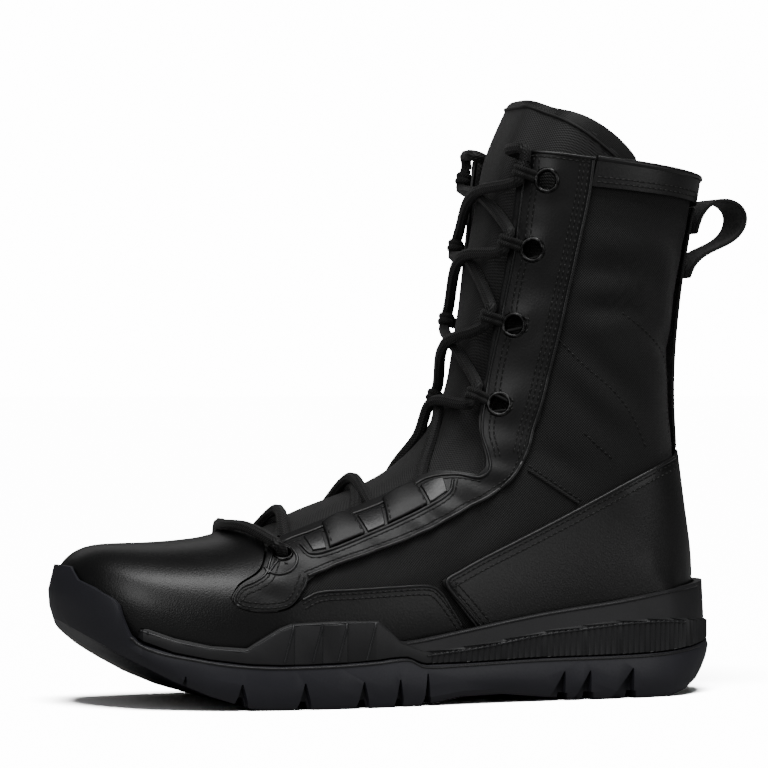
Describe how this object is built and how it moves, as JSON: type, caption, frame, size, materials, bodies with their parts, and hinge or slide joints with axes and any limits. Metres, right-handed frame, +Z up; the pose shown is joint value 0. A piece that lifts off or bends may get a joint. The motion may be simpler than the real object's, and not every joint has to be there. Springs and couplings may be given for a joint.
{
  "type": "military boot",
  "caption": "Tall black lace-up military boot: cloth shaft, leather vamp, counter and eyestays, padded tongue, webbing lace keepers, pull loop and a lugged rubber sole with a toe bumper.",
  "frame": {"origin": "on the floor under the middle of the heel, on the flat of the heel's tread", "axes": "+X from the toe to the heel, +Y from the outer (lateral) to the inner (medial) side, +Z up"},
  "size_m": [0.3236, 0.1091, 0.2661],
  "materials": {
    "leather": "smooth, satin",
    "cloth": "woven, matte",
    "insole": "woven, matte",
    "midsole": "moulded, semi-matte",
    "outsole": "moulded, semi-matte",
    "webbing": "ribbed webbing",
    "lace": "braided cord",
    "grommet": "black, semi-gloss"
  },
  "bodies": {
    "root": {"back_strap": "webbing", "counter": "leather", "cuff": "leather", "eyestay_lateral": "leather", "eyestay_medial": "leather", "grommet_lateral_1": "grommet", "grommet_lateral_2": "grommet", "grommet_lateral_3": "grommet", "grommet_lateral_4": "grommet", "grommet_lateral_front": "grommet", "grommet_medial_1": "grommet", "grommet_medial_2": "grommet", "grommet_medial_3": "grommet", "grommet_medial_4": "grommet", "grommet_medial_front": "grommet", "insole": "insole", "lace": "lace", "lace_end_lateral": "lace", "lace_end_medial": "lace", "lace_front_bar": "lace", "lace_keeper_lateral_1": "webbing", "lace_keeper_lateral_2": "webbing", "lace_keeper_lateral_3": "webbing", "lace_keeper_lateral_4": "webbing", "lace_keeper_medial_1": "webbing", "lace_keeper_medial_2": "webbing", "lace_keeper_medial_3": "webbing", "lace_keeper_medial_4": "webbing", "lace_tunnel_lateral_1": "leather", "lace_tunnel_lateral_2": "leather", "lace_tunnel_medial_1": "leather", "lace_tunnel_medial_2": "leather", "midsole": "midsole", "outsole": "outsole", "pull_loop": "webbing", "tongue": "cloth", "upper": "cloth", "vamp": "leather"}
  },
  "joints": []
}
